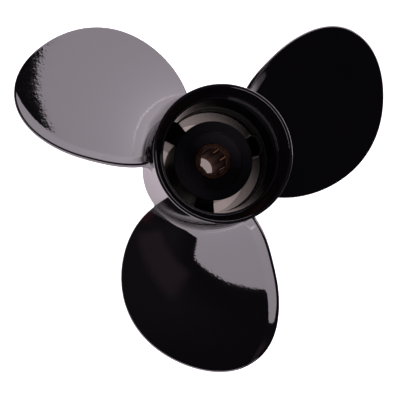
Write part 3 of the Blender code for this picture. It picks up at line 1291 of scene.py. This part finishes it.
@dataclass
class Blade:
    """A right-handed screw blade with a cupped trailing edge and a filleted root.

    In the blade's own plan, X runs outwards along its ray and Y across it, towards the
    trailing edge. Plan points are arrays of shape (..., 2).
    """

    finishes: Finishes
    hub: Hub
    number: int
    first_angle: float = 46.5
    pitch: float = 0.2520
    mid_height: float = 0.0405
    bow: float = 0.0049
    bow_radius: float = 0.0700
    bow_reach: float = 0.0500
    outline_centre: float = 0.0732
    outline_mean: float = 0.0450
    outline_waves: tuple[Pair, ...] = (
        (-0.0056, -0.0147),
        (0.0040, 0.0033),
        (-0.0006, -0.0003),
        (0.0007, 0.0005),
    )
    root_thickness: float = 0.0085
    tip_thickness: float = 0.0034
    rim_thickness: float = 0.0020
    root_radius: float = 0.0350
    tip_radius: float = 0.1175
    cup_width: float = 0.0040
    cup_slope: float = 0.27
    cup_start: float = 10.0
    cup_full: float = 36.0
    cup_softness: float = 0.0003
    cup_growth: float = 3.0
    tip_direction: float = -10.0
    root_direction: float = 170.0
    fillet_sizes: tuple[Pair, ...] = (
        (-45.0, 0.0020),
        (-35.0, 0.0033),
        (-21.0, 0.0055),
        (-8.0, 0.0070),
        (15.0, 0.0062),
        (35.0, 0.0042),
        (50.0, 0.0030),
    )
    fillet_pulls: Pair = (0.78, 0.60)
    smallest_fillet: float = 0.0004
    least_descent: float = 0.5
    fillet_sunk: float = 0.00004
    root_sunk: float = 0.0012
    lowest: float = 0.0010
    least_band: float = 0.0004
    crowding: float = 0.6
    fold_margin: float = 0.006
    rows: int = 110
    columns: int = 60
    band_columns: int = 7
    rim_steps: int = 8
    fillet_steps: int = 10
    crease: float = 60.0

    def outline(self, direction: np.ndarray) -> np.ndarray:
        """Gives the blade's outline as seen along the shaft.

        Args:
            direction: directions from the outline's centre, in radians.

        Returns:
            The outline's distance from its centre.
        """
        reach = np.full_like(direction, self.outline_mean)
        for order, (cosine, sine) in enumerate(self.outline_waves, start=1):
            reach = reach + cosine * np.cos(order * direction) + sine * np.sin(order * direction)
        return reach

    def outline_lean(self, direction: np.ndarray) -> np.ndarray:
        """Measures how far the outline's normal leans from the direction from its centre.

        Args:
            direction: directions from the outline's centre, in radians.

        Returns:
            The angle between them.
        """
        step = 0.0005
        slope = (self.outline(direction + step) - self.outline(direction - step)) / (2 * step)
        return np.arctan2(slope, self.outline(direction))

    def edge_point(self, direction: np.ndarray, inset: np.ndarray | float) -> np.ndarray:
        """Plan points that lie a distance inside the outline.

        Args:
            direction: directions from the outline's centre, in radians.
            inset: distance inside the outline.

        Returns:
            The plan points.
        """
        reach, normal = self.outline(direction), direction - self.outline_lean(direction)
        x = self.outline_centre + reach * np.cos(direction) - inset * np.cos(normal)
        y = reach * np.sin(direction) - inset * np.sin(normal)
        return np.stack([x, y], -1)

    def band_width(self, direction: np.ndarray) -> np.ndarray:
        """Gives the width of the cupped band along the trailing edge.

        Args:
            direction: directions from the outline's centre, in radians.

        Returns:
            The width, which is 0 where there is no cup.
        """
        start, full = math.radians(self.cup_start), math.radians(self.cup_full)
        part = np.clip((direction - start) / (full - start), 0.0, 1.0)
        return self.cup_width * np.sin(part * math.pi / 2)

    def polar(self, plan: np.ndarray) -> tuple[np.ndarray, np.ndarray]:
        """Direction in radians and distance of plan points from the outline's centre."""
        x, y = plan[..., 0] - self.outline_centre, plan[..., 1]
        return np.arctan2(y, x), np.hypot(x, y)

    def height(self, plan: np.ndarray) -> np.ndarray:
        """Gives the blade's mid-surface: a screw surface with a bow and a cup.

        Args:
            plan: plan points.

        Returns:
            The mid-surface's height above the front.
        """
        radius = np.hypot(plan[..., 0], plan[..., 1])
        turn = np.arctan2(plan[..., 1], plan[..., 0])
        outward = (radius - self.bow_radius) / self.bow_reach
        direction, reach = self.polar(plan)
        inside = (self.outline(direction) - reach) * np.cos(self.outline_lean(direction))
        width = self.band_width(direction)
        past = width + self.rim_thickness / 2 - inside
        softness = self.cup_softness
        past = (past + np.sqrt(past**2 + softness**2)) / 2
        share = np.clip(width / self.cup_width * self.cup_growth, 0.0, 1.0)
        cup = self.cup_slope * past * share
        return self.mid_height + self.pitch * turn / math.tau + self.bow * outward**2 + cup

    def surface(self, plan: np.ndarray) -> np.ndarray:
        """Places on the mid-surface."""
        return np.concatenate([plan, self.height(plan)[..., None]], -1)

    def normal(self, plan: np.ndarray) -> np.ndarray:
        """Gives unit normals of the mid-surface.

        Args:
            plan: plan points.

        Returns:
            The normals, pointing to the rear.
        """
        step = 0.00003
        slopes = []
        for move in ((step, 0.0), (0.0, step)):
            move = np.array(move)
            slopes.append((self.height(plan + move) - self.height(plan - move)) / (2 * step))
        normal = np.stack([-slopes[0], -slopes[1], np.ones_like(slopes[0])], -1)
        return normal / np.linalg.norm(normal, axis=-1, keepdims=True)

    def thickness(self, plan: np.ndarray) -> np.ndarray:
        """Gives the blade's thickness, which falls from root to tip and towards the rim.

        Args:
            plan: plan points.

        Returns:
            The thickness.
        """
        radius = np.hypot(plan[..., 0], plan[..., 1])
        part = np.clip(
            (radius - self.root_radius) / (self.tip_radius - self.root_radius), 0.0, 1.0
        )
        middle = self.root_thickness + (self.tip_thickness - self.root_thickness) * part
        direction, reach = self.polar(plan)
        rim = np.clip(reach / self.outline(direction), 0.0, 1.0) ** 4
        return middle + (self.rim_thickness - middle) * rim

    def root_reach(self, plan: np.ndarray) -> np.ndarray:
        """Gives the radius at which the root fillet begins.

        Args:
            plan: plan points, whose azimuths count.

        Returns:
            The radius at each azimuth.
        """
        turns, sizes = zip(*self.fillet_sizes)
        turn = np.degrees(np.arctan2(plan[..., 1], plan[..., 0]))
        return self.hub.barrel_front_radius + np.interp(turn, turns, sizes)

    def find_crossing(self, start: float, end: float, inset: float) -> float:
        """Direction in which the inset outline crosses the edge of the root fillet.

        Args:
            start: direction outside the fillet, in degrees.
            end: direction inside it, in degrees.
            inset: distance inside the outline.

        Returns:
            The direction, in radians.
        """
        low, high = math.radians(start), math.radians(end)
        for _ in range(50):
            middle = np.array((low + high) / 2)
            point = self.edge_point(middle, inset)
            if np.linalg.norm(point) > self.root_reach(point):
                low = float(middle)
            else:
                high = float(middle)
        return (low + high) / 2

    def plan_grid(self) -> np.ndarray:
        """Lays rows from the root to the tip across the plan.

        Returns:
            Plan points of shape (rows, columns, 2). The first row lies where the root fillet
            begins, and the last row is just short of the tip.
        """
        rim = self.rim_thickness / 2
        tip = math.radians(self.tip_direction)
        leading = self.find_crossing(self.tip_direction, -self.root_direction, rim)
        trailing = self.find_crossing(self.tip_direction, self.root_direction, rim)
        along = np.linspace(0.0, 1.0, self.rows + 1)[:-1]
        lead_edge = self.edge_point(leading + (tip - leading) * along, rim)
        trail_directions = trailing + (tip - trailing) * along
        trail_edge = self.edge_point(trail_directions, rim)
        band_width = np.maximum(self.band_width(trail_directions), self.least_band * (1 - along))
        fold = self.edge_point(trail_directions, rim + band_width)
        ease = np.linspace(0.0, 1.0, self.columns)
        across = 0.5 - 0.5 * np.cos(math.pi * ease)
        across = self.crowding * across + (1 - self.crowding) * ease
        across[-2] = 1.0 - self.fold_margin
        start, end = lead_edge[0], fold[0]
        turns = [math.atan2(point[1], point[0]) for point in (start, end)]
        arc_turn = turns[0] + (turns[1] - turns[0]) * across
        arc = np.stack([np.cos(arc_turn), np.sin(arc_turn)], -1)
        arc = arc * self.root_reach(arc)[:, None]
        end = arc[-1]
        fold[0] = end
        out, side = along[:, None, None], across[None, :, None]
        grid = (
            (1 - out) * arc[None]
            + (1 - side) * lead_edge[:, None]
            + side * fold[:, None]
            - (1 - out) * ((1 - side) * start + side * end)
        )
        part = np.linspace(0.0, 1.0, self.band_columns + 1)[1:][None, :, None]
        band = fold[:, None] * (1 - part) + trail_edge[:, None] * part
        grid = np.concatenate([grid, band], 1)
        reach = self.root_reach(grid[0]) / np.linalg.norm(grid[0], axis=-1)
        grid[0] *= reach[:, None]
        return grid

    def rim_arcs(self, edge: np.ndarray, outward: np.ndarray) -> tuple[np.ndarray, np.ndarray]:
        """Half-round rim outside an edge of the sheets.

        Args:
            edge: plan points along the edge.
            outward: plan directions that point out of the blade there.

        Returns:
            Places and normals, of shape (points, rim steps - 1, 3), from rear to front.
        """
        normal = self.normal(edge)[:, None]
        out = np.concatenate([outward, np.zeros(outward.shape[:-1] + (1,))], -1)[:, None]
        out = out - (out * normal).sum(-1, keepdims=True) * normal
        out /= np.linalg.norm(out, axis=-1, keepdims=True)
        angle = (np.pi * np.arange(1, self.rim_steps) / self.rim_steps)[None, :, None]
        rim = self.rim_thickness / 2
        thick = self.thickness(edge)[:, None, None]
        offset = rim - thick / 2 + thick / 2 * np.cos(angle)
        places = self.surface(edge)[:, None] + offset * normal + rim * np.sin(angle) * out
        facing = np.cos(angle) / thick * 2 * normal + np.sin(angle) / rim * out
        return places, facing / np.linalg.norm(facing, axis=-1, keepdims=True)

    def edge_outward(self, edge: np.ndarray) -> np.ndarray:
        """Gives plan directions that point straight out of the outline.

        Args:
            edge: plan points near the outline.

        Returns:
            The unit directions.
        """
        direction = self.polar(edge)[0]
        normal = direction - self.outline_lean(direction)
        return np.stack([np.cos(normal), np.sin(normal)], -1)

    def root_rings(self, places: np.ndarray, normals: np.ndarray) -> list[np.ndarray]:
        """Sweeps the root loop inwards and outwards along the barrel as a fillet.

        Args:
            places: places of the loop round the blade's root.
            normals: outward normals there.

        Returns:
            Rings from the first below the loop down to one inside the barrel's wall.
        """
        radial = places * np.array((1.0, 1.0, 0.0))
        radial /= np.linalg.norm(radial, axis=-1, keepdims=True)
        inward = -radial + (radial * normals).sum(-1, keepdims=True) * normals
        inward /= np.linalg.norm(inward, axis=-1, keepdims=True)
        away = normals - (normals * radial).sum(-1, keepdims=True) * radial
        away /= np.linalg.norm(away, axis=-1, keepdims=True)
        size = np.hypot(places[:, 0], places[:, 1]) - self.hub.barrel_front_radius
        descent = -(inward * radial).sum(-1, keepdims=True)
        drop = size[:, None] / np.maximum(descent, self.least_descent)
        foot = places + inward * drop
        spread = size.copy()
        falling = away[:, 2] < -0.05
        room = (foot[:, 2] - self.lowest)[falling] / -away[:, 2][falling]
        spread[falling] = np.minimum(spread[falling], np.maximum(room, self.smallest_fillet))
        spread = spread[:, None]
        end = foot + away * spread
        turn = np.arctan2(end[:, 1], end[:, 0])
        out = np.stack([np.cos(turn), np.sin(turn), np.zeros(len(turn))], -1)
        radius = np.array([self.hub.barrel_radius(z) for z in end[:, 2]])[:, None]
        end = np.concatenate([out[:, :2] * (radius - self.fillet_sunk), end[:, 2:]], -1)
        away = away - (away * out).sum(-1, keepdims=True) * out
        away /= np.linalg.norm(away, axis=-1, keepdims=True)
        first = places + inward * drop * self.fillet_pulls[0]
        second = end - away * spread * self.fillet_pulls[1]
        rings = []
        for step in range(1, self.fillet_steps + 1):
            t = step / self.fillet_steps
            rings.append(
                (1 - t) ** 3 * places
                + 3 * (1 - t) ** 2 * t * first
                + 3 * (1 - t) * t**2 * second
                + t**3 * end
            )
        rings.append(end - out * self.root_sunk)
        return rings

    def sheet(self, plan: np.ndarray, rear: bool) -> np.ndarray:
        """Lays one side of the blade.

        Args:
            plan: plan points.
            rear: the rear side, which keeps a steady distance from the mid-surface, and not
                the front side, which takes up the thickness.

        Returns:
            The places.
        """
        rim = self.rim_thickness / 2
        offset = np.full(plan.shape[:-1], rim) if rear else rim - self.thickness(plan)
        return self.surface(plan) + offset[..., None] * self.normal(plan)

    def build_mesh(self) -> bpy.types.Object:
        """Makes the blade as one closed mesh in its own plan.

        Returns:
            The object, with its heights counted from the front face.
        """
        parts = MeshParts()
        grid = self.plan_grid()
        tip = self.edge_point(np.array([math.radians(self.tip_direction)]), self.rim_thickness / 2)
        rear, front = parts.keep(self.sheet(grid, True)), parts.keep(self.sheet(grid, False))
        rear_tip, front_tip = [parts.keep(self.sheet(tip, side))[0] for side in (True, False)]
        lead_places, lead_normals = self.rim_arcs(grid[:, 0], self.edge_outward(grid[:, 0]))
        trail_places, trail_normals = self.rim_arcs(grid[:, -1], self.edge_outward(grid[:, -1]))
        tip_places, _ = self.rim_arcs(tip, self.edge_outward(tip))
        lead, trail = parts.keep(lead_places), parts.keep(trail_places)
        cap = np.array([rear_tip, *parts.keep(tip_places)[0], front_tip])
        for side, pole in ((rear, rear_tip), (front, front_tip)):
            parts.add_skin(side)
            for corner, after in zip(side[-1, :-1], side[-1, 1:]):
                parts.add_face(corner, after, pole)
        for arcs, column in ((lead, 0), (trail, -1)):
            full = np.concatenate([rear[:, column, None], arcs, front[:, column, None]], 1)
            parts.add_skin([*full, cap])
        normals = self.normal(grid[0])
        loop = np.concatenate([rear[0], trail[0], front[0][::-1], lead[0][::-1]])
        loop_normals = np.concatenate(
            [normals, trail_normals[0], -normals[::-1], lead_normals[0][::-1]]
        )
        every = np.concatenate(parts.places)
        rings = [parts.keep(ring) for ring in self.root_rings(every[loop], loop_normals)]
        parts.add_skin([np.append(ring, ring[0]) for ring in (loop, *rings)])
        last, width, arc = rings[-1], grid.shape[1], self.rim_steps - 1
        rear_end = last[:width]
        front_end = last[width + arc : 2 * width + arc][::-1]
        parts.add_skin([rear_end, front_end])
        parts.add_face(rear_end[-1], *last[width : width + arc], front_end[-1])
        parts.add_face(front_end[0], *last[2 * width + arc :], rear_end[0])
        return parts.make(f"blade_casting_{self.number}")

    def build(self) -> None:
        """Makes the blade and turns it to its place on the hub."""
        item = self.build_mesh()
        turn = math.radians(self.first_angle + 120.0 * (self.number - 1))
        place = Matrix.Rotation(turn, 4, "Z") @ Matrix.Translation((0.0, 0.0, -FRONT_TO_ORIGIN))
        item.data.transform(place)
        finish_mesh(item, self.finishes.paint, self.crease)
        declare(item, Slot.PAINT, f"blade_{self.number}")


@dataclass(frozen=True)
class SoftBox:
    """An upright soft box that faces the shaft.

    Left and right are counted across its azimuth, and bottom and top from the origin.
    """

    name: str
    azimuth: float
    distance: float
    left: float
    right: float
    bottom: float
    top: float
    radiance: float
    colour: Point

    def build(self) -> None:
        """Makes the light."""
        light = bpy.data.lights.new(self.name, "AREA")
        light.shape = "RECTANGLE"
        light.size, light.size_y = self.right - self.left, self.top - self.bottom
        light.energy = self.radiance * math.pi * light.size * light.size_y
        light.color = self.colour
        item = bpy.data.objects.new(self.name, light)
        bpy.context.scene.collection.objects.link(item)
        turn = math.radians(self.azimuth)
        facing = Vector((math.cos(turn), math.sin(turn), 0.0))
        sideways = Vector((-math.sin(turn), math.cos(turn), 0.0))
        item.location = facing * self.distance + sideways * (self.left + self.right) / 2
        item.location.z = (self.top + self.bottom) / 2
        item.rotation_mode = "QUATERNION"
        item.rotation_quaternion = facing.to_track_quat("Z", "Y")
        item.visible_camera = False


@dataclass(frozen=True)
class Card:
    """A dim oblong in the surroundings, far away, with soft edges.

    Its place, lean and half sizes are angles. The softness is a sine.
    """

    azimuth: float
    elevation: float
    lean: float
    half_length: float
    half_width: float
    softness: float
    colour: Point
    near_side: Pair = (0.0, 0.1)

    def cover(self, nodes: Nodes) -> Number:
        """Adds the nodes that find the card in the surroundings.

        Args:
            nodes: the world's tree under construction.

        Returns:
            A number that is 1 where a direction meets the card and fades out at its edges.
        """
        view = nodes.add("ShaderNodeTexCoord").outputs["Generated"]
        turn, rise, lean = map(math.radians, (self.azimuth, self.elevation, self.lean))
        ahead = Vector(
            (math.cos(turn) * math.cos(rise), math.sin(turn) * math.cos(rise), math.sin(rise))
        )
        side = Vector((-math.sin(turn), math.cos(turn), 0.0))
        up = ahead.cross(side)
        share = nodes.ramp(nodes.dot(view, ahead), *self.near_side)
        for along, half in (
            (side * math.cos(lean) + up * math.sin(lean), self.half_length),
            (up * math.cos(lean) - side * math.sin(lean), self.half_width),
        ):
            offset = nodes.dot(view, along)
            edge = math.sin(math.radians(half))
            distance = (offset * offset) ** 0.5
            share = share * nodes.ramp(distance, edge + self.softness, edge - self.softness)
        return share


@dataclass
class Studio:
    """Floor, soft boxes, surroundings and camera."""

    floor_radius: float = 1.6
    floor_segments: int = 96
    camera_place: Point = (-0.05858, -0.05781, 0.50108)
    camera_forward: Point = (0.113678, 0.073439, -0.990800)
    camera_up: Point = (-0.166613, 0.984550, 0.053860)
    lens: float = 79.68
    sensor: float = 36.0
    clip_start: float = 0.01
    room: Point = (0.022, 0.020, 0.027)
    seen_room: Point = (1.0, 1.0, 1.0)
    cards: tuple[Card, ...] = (
        Card(45.0, 80.0, 0.0, 9.0, 9.0, 0.06, (0.075, 0.062, 0.082)),
        Card(155.0, 27.0, 0.0, 22.0, 26.0, 0.14, (0.080, 0.062, 0.075)),
        Card(165.0, 26.0, 45.0, 16.0, 7.0, 0.05, (0.215, 0.145, 0.190)),
        Card(144.0, 3.0, 0.0, 2.5, 7.0, 0.03, (0.24, 0.08, 0.10)),
    )
    soft_boxes: tuple[SoftBox, ...] = (
        SoftBox("soft_box_far", 46.5, 1.0, -0.61, 2.4, -0.0353, 0.95, 4.75, (1.0, 0.89, 1.0)),
        SoftBox("soft_box_near", 257.0, 1.0, -2.47, 0.42, -0.0353, 1.17, 4.75, (1.0, 0.89, 1.0)),
    )

    def build_floor(self) -> None:
        """Makes the round floor that the propeller stands on."""
        count, radius = self.floor_segments, self.floor_radius
        places = [(0.0, 0.0, -FRONT_TO_ORIGIN)]
        for index in range(count):
            turn = math.tau * index / count
            places.append((radius * math.cos(turn), radius * math.sin(turn), -FRONT_TO_ORIGIN))
        faces = [(0, index + 1, (index + 1) % count + 1) for index in range(count)]
        floor = plain_object("floor", places, faces)
        floor.data.materials.append(PaleFloor().build())

    def build_world(self) -> None:
        """Makes dim surroundings that look pale where the camera sees them directly."""
        world = bpy.data.worlds.new("surroundings")
        bpy.context.scene.world = world
        world.use_nodes = True
        nodes = Nodes(world.node_tree)
        background = world.node_tree.nodes["Background"]
        shade: Point | bpy.types.NodeSocket = self.room
        for card in self.cards:
            shade = nodes.mix(card.cover(nodes), shade, card.colour)
        ray = nodes.number(nodes.add("ShaderNodeLightPath"), "Is Camera Ray")
        nodes.feed(background, {"Color": nodes.mix(ray, shade, self.seen_room)})

    def build_camera(self) -> None:
        """Makes the camera that looks down on the flared end."""
        camera = bpy.data.cameras.new("camera")
        camera.lens = self.lens
        camera.sensor_width = self.sensor
        camera.clip_start = self.clip_start
        item = bpy.data.objects.new("camera", camera)
        bpy.context.scene.collection.objects.link(item)
        back = -Vector(self.camera_forward).normalized()
        right = Vector(self.camera_up).cross(back).normalized()
        up = back.cross(right)
        turn = Matrix((right, up, back)).transposed()
        item.matrix_world = Matrix.Translation(self.camera_place) @ turn.to_4x4()
        bpy.context.scene.camera = item

    def build(self) -> None:
        """Makes the studio."""
        self.build_floor()
        self.build_world()
        for box in self.soft_boxes:
            box.build()
        self.build_camera()
        bpy.context.scene.view_settings.view_transform = "Standard"


def corners(box: Sequence[Vector]) -> list[list[float]]:
    """Turns a box into plain lists of numbers."""
    return [[float(value) for value in corner] for corner in box]


def main() -> None:
    """Builds the propeller and its studio."""
    logging.basicConfig(level=logging.INFO, format="%(name)s %(message)s")
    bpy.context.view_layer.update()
    Studio().build()
    finishes = Finishes.build()
    lathe, repeater = build_lathe(), build_repeater()
    hub = Hub(finishes, lathe, repeater)
    hub.build()
    for number in (1, 2, 3):
        Blade(finishes, hub, number).build()
    SplinedSleeve(finishes, repeater).build()
    LOG.info("all pieces are built")


if __name__ == "__main__":
    main()
